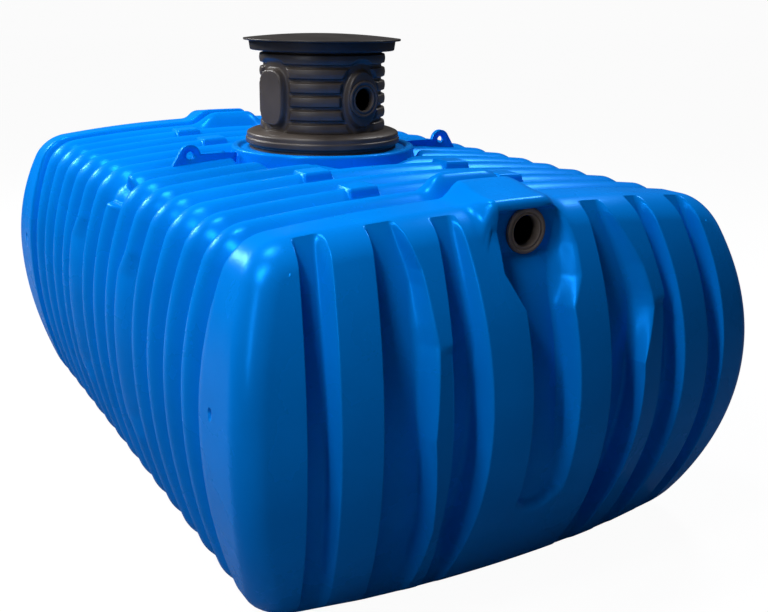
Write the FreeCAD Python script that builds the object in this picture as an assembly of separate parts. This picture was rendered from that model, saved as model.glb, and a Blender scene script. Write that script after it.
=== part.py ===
"""Underground water tank: ribbed, hollow moulded body with domed ends, an access shaft and a round cover.

Millimetres. X runs along the tank with the inlet end at +X, Z is up, and the origin is under the middle of
the tank, on the floor that it stands on. The body looks the same after half a turn about Z.
"""
import FreeCAD, Part
import math
import os

V = FreeCAD.Vector
ORIGIN, X_AXIS, Y_AXIS, Z_AXIS = V(0, 0, 0), V(1, 0, 0), V(0, 1, 0), V(0, 0, 1)

# Moulded wall of the body
WALL = 10.0

# Cross-section of the body, measured over the crests of the ribs
HALF_WIDTH = 1128.0          # from the middle to the widest point of a side
HEIGHT = 1462.0              # floor to the middle of the roof
WIDEST_Z = 780.0             # height of the widest point
CROWN_R = 7500.0             # shallow crown of the roof
SHOULDER_R = 200.0           # roof to side
UPPER_SIDE_R = 1100.0        # side above its widest point
LOWER_SIDE_R = 2300.0        # side below its widest point
HAUNCH_R = 220.0             # side to floor

# Ribs, closed rings round the body
RIB_COUNT = 13
RIB_PITCH = 193.0
RIB_CREST = 112.0            # length of the rounded crest along X
RIB_RISE = 12.0              # how far the crest is crowned
RIB_FLANK = 22.0             # length of each sloping flank along X
RIB_DEPTH = 42.0             # crest to groove

# Domed ends
END_LENGTH = 492.0           # from the last groove to the furthest point of the end face
END_FACE_R_Y = 5200.0        # curvature of the face across the tank
END_FACE_R_Z = 1000.0        # and upwards
END_BULGE_Z = 770.0          # height of the furthest point
END_EDGE_R = 110.0           # rounding between the band and the end face

# Upright channels in an end face, from the side inwards: outer and inner edge, each as its distance from the
# middle far above or below the bulge and at the bulge, then the depths at the roof, the bulge and the floor
CHANNELS = (((813.0, 908.0), (712.0, 803.0), (60.0, 60.0, 57.0)),
            ((576.0, 662.0), (440.0, 484.0), (55.0, 80.0, 88.0)),
            ((351.0, 409.0), (275.0, 258.0), (42.0, 95.0, 108.0)))
CHANNEL_BOW = 800.0          # distance above and below the bulge over which the edges bow out

# Recess round the pipe seal in the middle of an end face, and the channel that it narrows to below
RECESS_HALF = 140.0
RECESS_BACK = 227.0          # recess floor behind the furthest point of the face
RECESS_SLOPE = 107.0         # below the pipe's axis: where the floor starts to slope out to the channel
RECESS_WAIST = 112.0         # where the recess starts to narrow
RECESS_NECK = 196.0          # where it has become the channel
CHUTE_HALF = 96.0
CHUTE_DEPTH = 88.0
CHUTE_FOOT_Z = 370.0

# Hood over the recess, and the saddle on the rib beside it: left foot, left top, right top and right foot
SADDLE = (-205.0, -80.0, 150.0, 250.0)
SADDLE_LENGTH = 106.0        # along the tank
SADDLE_SINK = 19.0           # how far its walls reach down into the rib
HOOD_FRONT = (-215.0, -150.0, 125.0, 190.0)
HOOD_RISE = 68.0             # above the middle of the roof
HOOD_EDGE_R = 45.0
HOOD_BACK = 192.0            # its front behind the furthest point of the face
HOOD_SINK = 27.0             # how far its side walls reach down into the end
LIP_DROP = 5.0               # lower edge of its front below the middle of the roof

# Pipe seals of inlet and outlet
PORT_DROP = 90.0             # axis of the pipe below the middle of the roof
PORT_HOLE_R = 70.0
PIPE_R = 55.0
SEAL_R = 83.0                # outer flange
SEAL_FLANGE = 14.0
SEAL_CLIP_R = 77.0           # inner flange that holds the seal in its hole
SEAL_CLIP = 8.0

# Collar of the manhole
COLLAR_R = 430.0
COLLAR_RIM = 10.0            # how far the collar stands above the crown
COLLAR_SKIRT = 77.0          # depth of its outer skirt

# Lifting eyes, one on each side of the middle rib
EYE_INSET = 468.0            # from the widest point of a side in to the hole
EYE_LIFT = 34.0              # hole above the roof
EYE_HOLE_R = 18.0
EYE_R = 48.0
EYE_FOOT_OUT = 83.0          # foot of the eye along the rib, outwards from the hole
EYE_FOOT_IN = 64.0           # and inwards
EYE_THICK = 26.0
EYE_SINK = 6.0               # how far the blank reaches below the crest before it is trimmed to the rib

# Access shaft
SHAFT_TURN = 13.0            # turn of the shaft about Z, from +X
GASKET_R = 345.0
GASKET = 8.0
BASE_R = 361.0
BASE_FLANGE = 24.0           # height of the flange
BASE_SHOULDER_R = 338.0
BASE_SHOULDER = 14.0         # height of the sloping step above the flange
BASE_NECK_R = 303.0
BASE_HEIGHT = 68.0
RISER_R = 291.0              # over the ribs
RISER_WALL = 9.0
RISER_RIBS = 5
RISER_PITCH = 70.0
RISER_RIB = 44.0             # height of a rib's outer face
RISER_DEPTH = 14.0           # rib to groove
PAD_FACE = 299.0             # distance of the pads' faces from the axis
PAD_WIDTH = 190.0
PAD_HEIGHT = 290.0
PAD_CORNER = 45.0
PAD_LIFT = 155.0             # middle of the pads above the riser's foot
SIDE_PIPE_R = 50.0
SIDE_SEAL_R = 80.0
SIDE_SEAL_FLANGE = 10.0
SIDE_HOLE_R = 62.0

# Cover and the frame that it lies in
FRAME_R = 338.0
FRAME_HEIGHT = 47.0
FRAME_WALL = 9.0
FRAME_LEAN = 6.0             # how far its rim leans out
COVER_R = 362.0
COVER_RIM = 14.0             # thickness at the edge
COVER_DOME = 28.0            # rise of the middle above the edge


def meeting_point(first, first_r, second, second_r):
    """The point (y, z) furthest to +y at these distances from two others: centre of an arc between arcs."""
    dy, dz = second[0] - first[0], second[1] - first[1]
    gap = math.hypot(dy, dz)
    along = (first_r ** 2 - second_r ** 2 + gap ** 2) / (2 * gap)
    aside = math.sqrt(first_r ** 2 - along ** 2)
    foot = (first[0] + along * dy / gap, first[1] + along * dz / gap)
    return max((foot[0] + side * aside * dz / gap, foot[1] - side * aside * dy / gap) for side in (1, -1))


def direction(centre, point):
    """Angle from +Y towards +Z, in degrees, of the line from one point (y, z) to another."""
    return math.degrees(math.atan2(point[1] - centre[1], point[0] - centre[0]))


# Arcs of the right half of the section: centre (y, z), radius over the crests, first and last angle
UPPER_CENTRE = (HALF_WIDTH - UPPER_SIDE_R, WIDEST_Z)
LOWER_CENTRE = (HALF_WIDTH - LOWER_SIDE_R, WIDEST_Z)
CROWN_CENTRE = (0.0, HEIGHT - CROWN_R)
SHOULDER_CENTRE = meeting_point(UPPER_CENTRE, UPPER_SIDE_R - SHOULDER_R, CROWN_CENTRE, CROWN_R - SHOULDER_R)
HAUNCH_DROP = math.asin((WIDEST_Z - HAUNCH_R) / (LOWER_SIDE_R - HAUNCH_R))
HAUNCH_CENTRE = (LOWER_CENTRE[0] + (LOWER_SIDE_R - HAUNCH_R) * math.cos(HAUNCH_DROP), HAUNCH_R)
CROWN_ANGLE = direction(CROWN_CENTRE, SHOULDER_CENTRE)
SHOULDER_ANGLE = direction(UPPER_CENTRE, SHOULDER_CENTRE)
HAUNCH_ANGLE = direction(LOWER_CENTRE, HAUNCH_CENTRE)
CROWN = (CROWN_CENTRE, CROWN_R, CROWN_ANGLE, 180 - CROWN_ANGLE)
SIDE_ARCS = {
    "shoulder": (SHOULDER_CENTRE, SHOULDER_R, SHOULDER_ANGLE, CROWN_ANGLE),
    "upper_wall": (UPPER_CENTRE, UPPER_SIDE_R, 0.0, SHOULDER_ANGLE),
    "lower_wall": (LOWER_CENTRE, LOWER_SIDE_R, HAUNCH_ANGLE, 0.0),
    "haunch": (HAUNCH_CENTRE, HAUNCH_R, -90.0, HAUNCH_ANGLE),
}

# Stations along X
BARREL_END = RIB_COUNT * RIB_PITCH / 2 + (RIB_PITCH - RIB_CREST) / 2     # where the bands of the ends begin
END_TIP = BARREL_END + END_LENGTH
RECESS_X = END_TIP - RECESS_BACK
FAR = END_TIP + END_LENGTH                                               # safely beyond an end

# Levels of the ends
HOOD_TOP = HEIGHT + HOOD_RISE
PORT_Z = HEIGHT - PORT_DROP
RECESS_SLOPE_Z = PORT_Z - RECESS_SLOPE
RECESS_WAIST_Z = PORT_Z - RECESS_WAIST
RECESS_NECK_Z = PORT_Z - RECESS_NECK

# Levels of the shaft
COLLAR_TOP = HEIGHT + COLLAR_RIM
BASE_Z = COLLAR_TOP + GASKET
RISER_Z = BASE_Z + BASE_HEIGHT
FRAME_Z = RISER_Z + RISER_RIBS * RISER_PITCH
COVER_Z = FRAME_Z + FRAME_HEIGHT
RISER_BORE = RISER_R - RISER_DEPTH - RISER_WALL
PAD_Z = RISER_Z + PAD_LIFT


def arc_edge(arc, inset, x):
    """An arc of the section, moved in by an inset, as an edge in the plane of one station."""
    centre, radius, start, end = arc
    angles = [math.radians(a) for a in (start, (start + end) / 2, end)]
    points = [V(x, centre[0] + (radius - inset) * math.cos(a), centre[1] + (radius - inset) * math.sin(a))
              for a in angles]
    return Part.Arc(*points).toShape()


def section(x, inset):
    """The body's section over the crests, moved in by an inset, as a face in the plane of one station."""
    right = [arc_edge(arc, inset, x) for arc in SIDE_ARCS.values()]
    left = [edge.mirror(ORIGIN, Y_AXIS) for edge in right]
    floor = Part.makeLine(V(x, -HAUNCH_CENTRE[0], inset), V(x, HAUNCH_CENTRE[0], inset))
    edges = right + left + [floor, arc_edge(CROWN, inset, x)]
    return Part.Face(Part.Wire(Part.__sortEdges__(edges)))


def outline(points):
    """A face bounded by straight lines through these points."""
    return Part.Face(Part.makePolygon(points + points[:1]))


def rib_wave(level):
    """The wall cut along X, in the plane of X and Y: ribs with crests at y = level, flanks and grooves."""
    top, shoulder, bottom = level, level - RIB_RISE, level - RIB_DEPTH
    edges = []
    at = V(-BARREL_END, top, 0)
    for rib in range(RIB_COUNT):
        middle = (rib - (RIB_COUNT - 1) / 2) * RIB_PITCH
        start, end = middle - RIB_CREST / 2, middle + RIB_CREST / 2
        into_groove = V(start - (RIB_PITCH - RIB_CREST) + RIB_FLANK, bottom, 0)
        out_of_groove = V(start - RIB_FLANK, bottom, 0)
        crest = [V(start, shoulder, 0), V(middle, top, 0), V(end, shoulder, 0)]
        edges += [Part.makeLine(at, into_groove), Part.makeLine(into_groove, out_of_groove),
                  Part.makeLine(out_of_groove, crest[0]), Part.Arc(*crest).toShape()]
        at = crest[2]
    into_groove, out_of_groove = V(at.x + RIB_FLANK, bottom, 0), V(BARREL_END - RIB_FLANK, bottom, 0)
    last = V(BARREL_END, top, 0)
    edges += [Part.makeLine(at, into_groove), Part.makeLine(into_groove, out_of_groove),
              Part.makeLine(out_of_groove, last)]
    drop = V(0, -WALL, 0)
    inner = [edge.translated(drop) for edge in edges]
    first = V(-BARREL_END, top, 0)
    closers = [Part.makeLine(first, first + drop), Part.makeLine(last, last + drop)]
    return Part.Face(Part.Wire(Part.__sortEdges__(edges + inner + closers)))


def ribbed_panel(arc):
    """Ribbed wall swept round one arc of the section."""
    centre, radius, start, end = arc
    panel = rib_wave(radius).revolve(ORIGIN, X_AXIS, end - start)
    panel.rotate(ORIGIN, X_AXIS, start)
    panel.translate(V(0, *centre))
    return panel


def ribbed_floor():
    """Ribbed wall drawn straight across under the tank."""
    strip = rib_wave(0)
    strip.rotate(ORIGIN, X_AXIS, -90)
    strip.translate(V(0, -HAUNCH_CENTRE[0], 0))
    return strip.extrude(V(0, 2 * HAUNCH_CENTRE[0], 0))


def half_turn(shape):
    """The shape turned half round about Z, for the other end or side."""
    turned = shape.copy()
    turned.rotate(ORIGIN, Z_AXIS, 180)
    return turned


def ring(profile):
    """Solid of revolution about Z from an outline of (radius, height) points."""
    return outline([V(r, 0, z) for r, z in profile]).revolve(ORIGIN, Z_AXIS, 360)


def face_x(y, z):
    """Station of the smooth end face, before its channels are cut: bulged across and upwards."""
    return END_TIP - y ** 2 / (2 * END_FACE_R_Y) - (z - END_BULGE_Z) ** 2 / (2 * END_FACE_R_Z)


def dome(inset):
    """Solid whose front is the smooth end face, moved in by an inset: plan outlines lofted upwards."""
    reach, margin, levels = HALF_WIDTH + END_EDGE_R, END_EDGE_R / 2, 7
    plans = []
    for level in range(levels):
        z = -margin + (HEIGHT + 2 * margin) * level / (levels - 1)
        side, middle = face_x(reach, z) - inset, face_x(0, z) - inset
        front = Part.Arc(V(side, -reach, z), V(middle, 0, z), V(side, reach, z)).toShape()
        back = [V(side, reach, z), V(0, reach, z), V(0, -reach, z), V(side, -reach, z)]
        plans.append(Part.Wire([front] + Part.makePolygon(back).Edges))
    return Part.makeLoft(plans, True, False)


def trapezoid(x, across, foot, inset):
    """Corners of a hood's or saddle's section at one station, moved in by an inset, with walls down to a foot."""
    left_foot, left_top, right_top, right_foot = across
    top, left, right = HOOD_TOP - inset, left_top + inset, right_top - inset
    left_spread = (left_top - left_foot) / HOOD_RISE * (top - foot)
    right_spread = (right_foot - right_top) / HOOD_RISE * (top - foot)
    return [V(x, left - left_spread, foot), V(x, left, top),
            V(x, right, top), V(x, right + right_spread, foot)]


def rounded_top(box, inset):
    """A box on the roof, moved in by an inset, with its upper edges rounded."""
    upper = [edge for edge in box.Edges if edge.BoundBox.ZMin > HOOD_TOP - inset - 1]
    return box.makeFillet(HOOD_EDGE_R - inset, upper)


def hood(inset):
    """Box over the recess of an end, from the saddle's section behind to a section of its own in front."""
    foot = HEIGHT - HOOD_SINK + inset
    sections = (trapezoid(BARREL_END + inset, SADDLE, foot, inset),
                trapezoid(END_TIP - HOOD_BACK - inset, HOOD_FRONT, foot, inset))
    wires = [Part.makePolygon(corners + corners[:1]) for corners in sections]
    return rounded_top(Part.makeLoft(wires, True, True), inset)


def saddle(inset):
    """Box of even section on the crest of the last rib."""
    middle, half = (RIB_COUNT - 1) / 2 * RIB_PITCH, SADDLE_LENGTH / 2 - inset
    section_face = outline(trapezoid(middle - half, SADDLE, HEIGHT - SADDLE_SINK, inset))
    return rounded_top(section_face.extrude(V(2 * half, 0, 0)), inset)


def channel(outer, inner, depths, grow):
    """Cutter of one upright channel: its front outline with bowed edges crossed with its curved floor."""
    low, high = END_BULGE_Z - CHANNEL_BOW, END_BULGE_Z + CHANNEL_BOW
    edges = []
    for (rim, bulge), side in ((outer, grow), (inner, -grow)):
        points = [V(0, rim + side, low), V(0, bulge + side, END_BULGE_Z), V(0, rim + side, high)]
        edges.append(Part.Arc(*points).toShape())
    for z in (low, high):
        edges.append(Part.makeLine(V(0, outer[0] + grow, z), V(0, inner[0] - grow, z)))
    front = Part.Face(Part.Wire(Part.__sortEdges__(edges))).extrude(V(FAR, 0, 0))
    middle = (outer[1] + inner[1]) / 2
    floor = [V(face_x(middle, z) - depth - grow, 0, z) for z, depth in zip((HEIGHT, END_BULGE_Z, 0), depths)]
    above, below = V(0, 0, high - HEIGHT), V(0, 0, low)
    front_edge = [floor[2], floor[2] + below, V(FAR, 0, low), V(FAR, 0, high), floor[0] + above, floor[0]]
    wire = Part.Wire([Part.Arc(*floor).toShape()] + Part.makePolygon(front_edge).Edges)
    return front.common(Part.Face(wire).extrude(V(0, HALF_WIDTH, 0)))


def recess(grow):
    """Cutter of the seal's recess and the chute below: its front outline crossed with its side view."""
    half, chute, top = RECESS_HALF + grow, CHUTE_HALF + grow, HEIGHT - LIP_DROP + grow
    right = [V(0, chute, CHUTE_FOOT_Z - grow), V(0, chute, RECESS_NECK_Z),
             V(0, half, RECESS_WAIST_Z), V(0, half, top)]
    left = [V(0, -p.y, p.z) for p in reversed(right)]
    front = outline(right + left).extrude(V(FAR, 0, 0))
    wall = V(RECESS_X - grow, -half, RECESS_SLOPE_Z)
    neck = V(face_x(0, RECESS_NECK_Z) - CHUTE_DEPTH - grow, -half, RECESS_NECK_Z)
    deep = V(face_x(0, END_BULGE_Z) - CHUTE_DEPTH - grow, -half, END_BULGE_Z)
    foot = V(face_x(0, CHUTE_FOOT_Z) - CHUTE_DEPTH - grow, -half, CHUTE_FOOT_Z - grow)
    round_trip = [foot, V(FAR, -half, foot.z), V(FAR, -half, top), V(wall.x, -half, top), wall, neck]
    wire = Part.Wire([Part.Arc(neck, deep, foot).toShape()] + Part.makePolygon(round_trip).Edges)
    return front.common(Part.Face(wire).extrude(V(0, 2 * half, 0)))


def end_block(inset):
    """Solid end, or with an inset its hollow: band, rounded rim, bulged face, hood, channels and recess."""
    start = BARREL_END - inset
    block = section(start, inset).extrude(V(FAR - start, 0, 0)).common(dome(inset))
    front = max(block.Faces, key=lambda face: face.CenterOfMass.x)
    block = block.makeFillet(END_EDGE_R - inset, front.Edges)
    block = block.fuse(hood(inset))
    cutters = [recess(inset)]
    for outer, inner, depths in CHANNELS:
        right = channel(outer, inner, depths, inset)
        cutters += [right, right.mirror(ORIGIN, Y_AXIS)]
    return block.cut(cutters)


def port_cylinder(radius, start, length):
    """Cylinder on the axis of the inlet."""
    return Part.makeCylinder(radius, length, V(start, 0, PORT_Z), X_AXIS)


def domed_end():
    """Hollow end with the hole for its pipe seal and, behind its wall, room for the seal's inner flange."""
    shell = end_block(0).cut(end_block(WALL))
    hole = port_cylinder(PORT_HOLE_R, RECESS_X - WALL, 2 * WALL)
    behind = port_cylinder(SEAL_CLIP_R, RECESS_X - 5 * WALL, 4 * WALL)
    return shell.cut([hole, behind])


def pipe_seal():
    """Rubber lip seal clipped into the hole of an end: outer flange, waist in the wall and inner flange."""
    flange = port_cylinder(SEAL_R, RECESS_X, SEAL_FLANGE)
    waist = port_cylinder(PORT_HOLE_R, RECESS_X - WALL, WALL)
    clip = port_cylinder(SEAL_CLIP_R, RECESS_X - WALL - SEAL_CLIP, SEAL_CLIP)
    bore = port_cylinder(PIPE_R, RECESS_X - WALL - SEAL_CLIP, SEAL_CLIP + WALL + SEAL_FLANGE)
    return flange.fuse([waist, clip]).removeSplitter().cut(bore)


def roof():
    """Crowned ribbed roof with hollow saddles on its outer ribs and the round hole for the collar."""
    panel = ribbed_panel(CROWN)
    outside, hollow = saddle(0), saddle(WALL)
    panel = panel.fuse([outside, half_turn(outside)]).cut([hollow, half_turn(hollow)])
    return panel.cut(Part.makeCylinder(COLLAR_R, HEIGHT, ORIGIN, Z_AXIS))


def collar():
    """Moulded collar round the manhole: flat seat, bevelled rim and a skirt down into the roof."""
    low = COLLAR_TOP - COLLAR_SKIRT
    return ring([(RISER_BORE, COLLAR_TOP - WALL), (RISER_BORE, COLLAR_TOP), (COLLAR_R - WALL, COLLAR_TOP),
                 (COLLAR_R, COLLAR_TOP - WALL), (COLLAR_R, low), (COLLAR_R - WALL, low),
                 (COLLAR_R - WALL, COLLAR_TOP - WALL)])


def crown_z(y):
    """Height of the roof over the crests."""
    return CROWN_CENTRE[1] + math.sqrt(CROWN_R ** 2 - y ** 2)


def lifting_eye(roof_panel):
    """Upright plate on the middle rib with a round eye and its hole, seated on the crest."""
    start = -EYE_THICK / 2
    eye_y = HALF_WIDTH - EYE_INSET
    eye_z = crown_z(eye_y) + EYE_LIFT
    far, near = eye_y + EYE_FOOT_OUT, eye_y - EYE_FOOT_IN
    lift = math.sqrt(EYE_R ** 2 / 2)
    sides = [V(start, far, crown_z(far) - EYE_SINK), V(start, eye_y + lift, eye_z + lift),
             V(start, eye_y - lift, eye_z + lift), V(start, near, crown_z(near) - EYE_SINK)]
    plate = outline(sides).extrude(V(EYE_THICK, 0, 0))
    centre = V(start, eye_y, eye_z)
    above = V(0, 0, 2 * EYE_R)
    over_roof = outline([sides[0], sides[0] + above, sides[-1] + above, sides[-1]])
    disc = Part.makeCylinder(EYE_R, EYE_THICK, centre, X_AXIS).common(over_roof.extrude(V(EYE_THICK, 0, 0)))
    plate = plate.fuse(disc).removeSplitter()
    return plate.cut([Part.makeCylinder(EYE_HOLE_R, EYE_THICK, centre, X_AXIS), roof_panel])


def shaft_gasket():
    """Flat rubber ring between the collar and the base of the shaft."""
    return ring([(RISER_BORE, COLLAR_TOP), (GASKET_R, COLLAR_TOP), (GASKET_R, BASE_Z), (RISER_BORE, BASE_Z)])


def shaft_base():
    """Base ring of the shaft: flange, sloping step and cone up to the riser."""
    step = BASE_Z + BASE_FLANGE
    return ring([(RISER_BORE, BASE_Z), (BASE_R, BASE_Z), (BASE_R, step),
                 (BASE_SHOULDER_R, step + BASE_SHOULDER), (BASE_NECK_R, RISER_Z), (RISER_BORE, RISER_Z)])


def facing(shape, turn):
    """A shape built towards +X at the level of the shaft's pads, turned about Z and lifted to that level."""
    placed = shape.copy()
    placed.translate(V(0, 0, PAD_Z))
    placed.rotate(ORIGIN, Z_AXIS, turn)
    return placed


def riser():
    """Corrugated tube of the shaft with a blank pad on one side and an oval pad with a hole beside it."""
    groove = RISER_R - RISER_DEPTH
    ramp = (RISER_PITCH - RISER_RIB) / 4
    outside = []
    for rib in range(RISER_RIBS):
        low, high = RISER_Z + rib * RISER_PITCH, RISER_Z + (rib + 1) * RISER_PITCH
        outside += [(groove, low), (groove, low + ramp), (RISER_R, low + 2 * ramp),
                    (RISER_R, high - 2 * ramp), (groove, high - ramp)]
    outside.append((groove, FRAME_Z))
    inside = [(r - RISER_WALL, z) for r, z in reversed(outside)]
    tube = ring(outside + inside)
    half, tall, corner = PAD_WIDTH / 2, PAD_HEIGHT / 2, PAD_CORNER
    right = [V(0, half - corner, -tall), V(0, half, corner - tall),
             V(0, half, tall - corner), V(0, half - corner, tall)]
    left = [V(0, -p.y, p.z) for p in reversed(right)]
    blank = outline(right + left).extrude(V(PAD_FACE, 0, 0))
    oval_edge = Part.Ellipse(V(0, 0, tall), V(0, half, 0), ORIGIN).toShape()
    oval = Part.Face(Part.Wire([oval_edge])).extrude(V(PAD_FACE, 0, 0))
    pads = facing(oval, SHAFT_TURN).fuse(facing(blank, SHAFT_TURN - 90))
    pads = pads.cut(Part.makeCylinder(RISER_BORE, 2 * HEIGHT, ORIGIN, Z_AXIS))
    hole = facing(Part.makeCylinder(SIDE_HOLE_R, PAD_FACE, ORIGIN, X_AXIS), SHAFT_TURN)
    return tube.fuse(pads).cut(hole)


def riser_quarters():
    """The riser in four quarters, each with its side of the shaft in the middle."""
    tube = riser()
    reach = V(RISER_R, RISER_R, 0) * 2
    sector = outline([ORIGIN, V(reach.x, -reach.y, 0), reach]).extrude(V(0, 0, 2 * HEIGHT))
    quarters = {}
    for turn, name in enumerate(("front", "right", "rear", "left")):
        placed = sector.copy()
        placed.rotate(ORIGIN, Z_AXIS, 90 * turn)
        quarters["riser_" + name] = tube.common(placed)
    return quarters


def side_seal():
    """Rubber seal in the oval pad: a waist in the hole and a flange on the pad's face."""
    depth = PAD_FACE - RISER_BORE
    waist = Part.makeCylinder(SIDE_HOLE_R, depth, V(RISER_BORE, 0, 0), X_AXIS)
    flange = Part.makeCylinder(SIDE_SEAL_R, SIDE_SEAL_FLANGE, V(PAD_FACE, 0, 0), X_AXIS)
    bore = Part.makeCylinder(SIDE_PIPE_R, depth + SIDE_SEAL_FLANGE, V(RISER_BORE, 0, 0), X_AXIS)
    return facing(waist.fuse(flange).removeSplitter().cut(bore), SHAFT_TURN)


def cover_frame():
    """Shallow pan on the riser that the cover lies on: a flat bottom ring and a slightly leaning rim."""
    foot = FRAME_R - FRAME_LEAN
    return ring([(RISER_BORE, FRAME_Z), (foot, FRAME_Z), (FRAME_R, COVER_Z), (FRAME_R - FRAME_WALL, COVER_Z),
                 (foot - FRAME_WALL, FRAME_Z + FRAME_WALL), (RISER_BORE, FRAME_Z + FRAME_WALL)])


def spherical_cap(radius, base, rise):
    """Solid cap on the axis of the shaft: a slice off a sphere, with this base radius and this rise."""
    ball = (radius ** 2 + rise ** 2) / (2 * rise)
    sphere = Part.makeSphere(ball, V(0, 0, base + rise - ball))
    return sphere.common(Part.makeCylinder(radius, 2 * rise, V(0, 0, base), Z_AXIS))


def cover():
    """Round cover: an even sheet, flat at the edge where it lies on the frame and domed in the middle."""
    rim = Part.makeCylinder(COVER_R, COVER_RIM, V(0, 0, COVER_Z), Z_AXIS)
    dome_above = spherical_cap(COVER_R, COVER_Z + COVER_RIM, COVER_DOME)
    dome_below = spherical_cap(FRAME_R - 2 * FRAME_WALL, COVER_Z, COVER_DOME)
    return rim.fuse(dome_above).cut(dome_below)


front_end, inlet_seal, tank_roof = domed_end(), pipe_seal(), roof()
left_eye = half_turn(lifting_eye(tank_roof))
nodes = {
    "tank_roof": tank_roof,
    "tank_floor": ribbed_floor(),
    "front_end": front_end,
    "rear_end": half_turn(front_end),
    "inlet_seal": inlet_seal,
    "outlet_seal": half_turn(inlet_seal),
    "manhole_collar": collar(),
    "left_lifting_eye": left_eye,
    "right_lifting_eye": half_turn(left_eye),
    "shaft_gasket": shaft_gasket(),
    "shaft_base_ring": shaft_base(),
    "riser_pipe_seal": side_seal(),
    "cover_frame": cover_frame(),
    "cover": cover(),
}
nodes.update(riser_quarters())
for name, arc in SIDE_ARCS.items():
    right = ribbed_panel(arc)
    nodes["right_" + name] = right
    nodes["left_" + name] = half_turn(right)

os.makedirs("parts", exist_ok=True)
for name, shape in nodes.items():
    shape.exportStep("parts/" + name + ".step")
    print(name, len(shape.Solids), shape.isValid(), round(shape.Volume / 1e6, 3), "litres")
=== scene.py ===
"""Low, wide underground water tank of blue moulded plastic with an access shaft, on a plain pale floor."""

import bmesh
import bpy
import numpy as np
from mathutils import Matrix


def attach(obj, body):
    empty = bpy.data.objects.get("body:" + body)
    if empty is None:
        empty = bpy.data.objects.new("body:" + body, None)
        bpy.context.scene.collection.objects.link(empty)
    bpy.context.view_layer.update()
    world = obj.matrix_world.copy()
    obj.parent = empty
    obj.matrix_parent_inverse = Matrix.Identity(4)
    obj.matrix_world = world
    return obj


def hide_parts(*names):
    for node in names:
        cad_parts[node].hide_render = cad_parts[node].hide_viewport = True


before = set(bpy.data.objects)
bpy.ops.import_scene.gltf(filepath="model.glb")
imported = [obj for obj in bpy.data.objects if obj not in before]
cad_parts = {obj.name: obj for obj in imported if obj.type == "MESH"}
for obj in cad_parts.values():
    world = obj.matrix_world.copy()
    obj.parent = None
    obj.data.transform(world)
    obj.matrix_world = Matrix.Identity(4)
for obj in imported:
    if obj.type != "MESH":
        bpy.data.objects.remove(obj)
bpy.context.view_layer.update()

# Barrel of the tank: the middle of one hollow shell, moulded from blue polyethylene.
# Thirteen rounded ribs run round a low, wide section that is made of tangent arcs.
RIB_PITCH = 0.193
RIBS = np.arange(-6, 7) * RIB_PITCH
RIB_DEPTH, RIB_HALF, RIB_SWELL = 0.052, 0.0965, 0.62
BARREL_END = 6.5 * RIB_PITCH
ROOF_Z = 1.2
# The arcs of the section from the top: crown, shoulder, side above and below its widest point, haunch.
ARC_CENTRE = np.array([(0, -6.038), (0.854423, 1.221894), (-0.272, 0.78), (-0.772, 0.78), (0.811919, 0.22)])
ARC_RADIUS = np.array([7.5, 0.19, 1.4, 1.9, 0.22])
MEETING = np.array([ARC_CENTRE[1] - ARC_CENTRE[0], ARC_CENTRE[1] - ARC_CENTRE[2], (1, 0),
                    ARC_CENTRE[4] - ARC_CENTRE[3]])
ARC_ANGLE = np.concatenate([[np.pi / 2], np.arctan2(MEETING[:, 1], MEETING[:, 0]), [-np.pi / 2]])
ARC_START = np.concatenate([[0], np.cumsum(-np.diff(ARC_ANGLE) * ARC_RADIUS)])
HALF_GIRTH = ARC_START[5] + ARC_CENTRE[4, 0]
STEPPED_RIBS, MIDDLE_RIB, END_RIBS = (4, 8), 6, (0, 12)
SIDE_JOG, JOG_TOP, JOG_FOOT, JOG_SOFT = 0.060, (1.17, 1.06), (0.35, 0.46), 0.12
POCKET_TOP, POCKET_FOOT, POCKET_DEPTH = 1.385, 1.295, 0.024
POCKET_OUT, POCKET_IN = 0.010, 0.006
COLLAR_R, RIB_STOP, RIB_FULL, UNDER_COLLAR = 0.430, 0.006, 0.042, 0.012
PAD_RIBS, PAD_RISE, PAD_HALF, PAD_Y = (1, 3, 9, 11), 0.010, 0.060, (0.275, 0.405)
PAD_OUT, PAD_IN, PAD_END = 0.014, 0.010, 0.012
HOOD_RISE, FRONT_RISE = 0.060, 0.032
HOOD_REAR = (-0.205, -0.080, 0.090, 0.260)
HOOD_FRONT = (-0.215, -0.150, 0.050, 0.195)
HOOD_X, BROW_X = (1.10, 1.55), 1.28


def slope(start, end, value, soft=0.5):
    """Goes from 0 at start to 1 at end: straight in the middle, with a parabola over the share soft at
    each end."""
    t = np.clip((value - start) / (end - start), 0, 1)
    near = np.minimum(t, 1 - t)
    bent = np.where(near < soft, near ** 2 / (2 * soft * (1 - soft)), (near - soft / 2) / (1 - soft))
    return np.where(t > 0.5, 1 - bent, bent)


def girth(s):
    """Point and outward direction of the smooth section at the distance s along its outline from the crown's
    middle: each arc's angle falls in proportion to s, the floor is straight, and -Y mirrors +Y."""
    far = np.abs(s)
    arc = np.clip(np.searchsorted(ARC_START, far, side="right") - 1, 0, 4)
    angle = np.interp(far, ARC_START, ARC_ANGLE)
    flat = far > ARC_START[5]
    y = np.where(flat, HALF_GIRTH - far, ARC_CENTRE[arc, 0] + ARC_RADIUS[arc] * np.cos(angle))
    z = np.where(flat, 0, ARC_CENTRE[arc, 1] + ARC_RADIUS[arc] * np.sin(angle))
    side = np.where(s < 0, -1.0, 1.0)
    return side * y, z, side * np.cos(angle), np.sin(angle)


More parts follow.
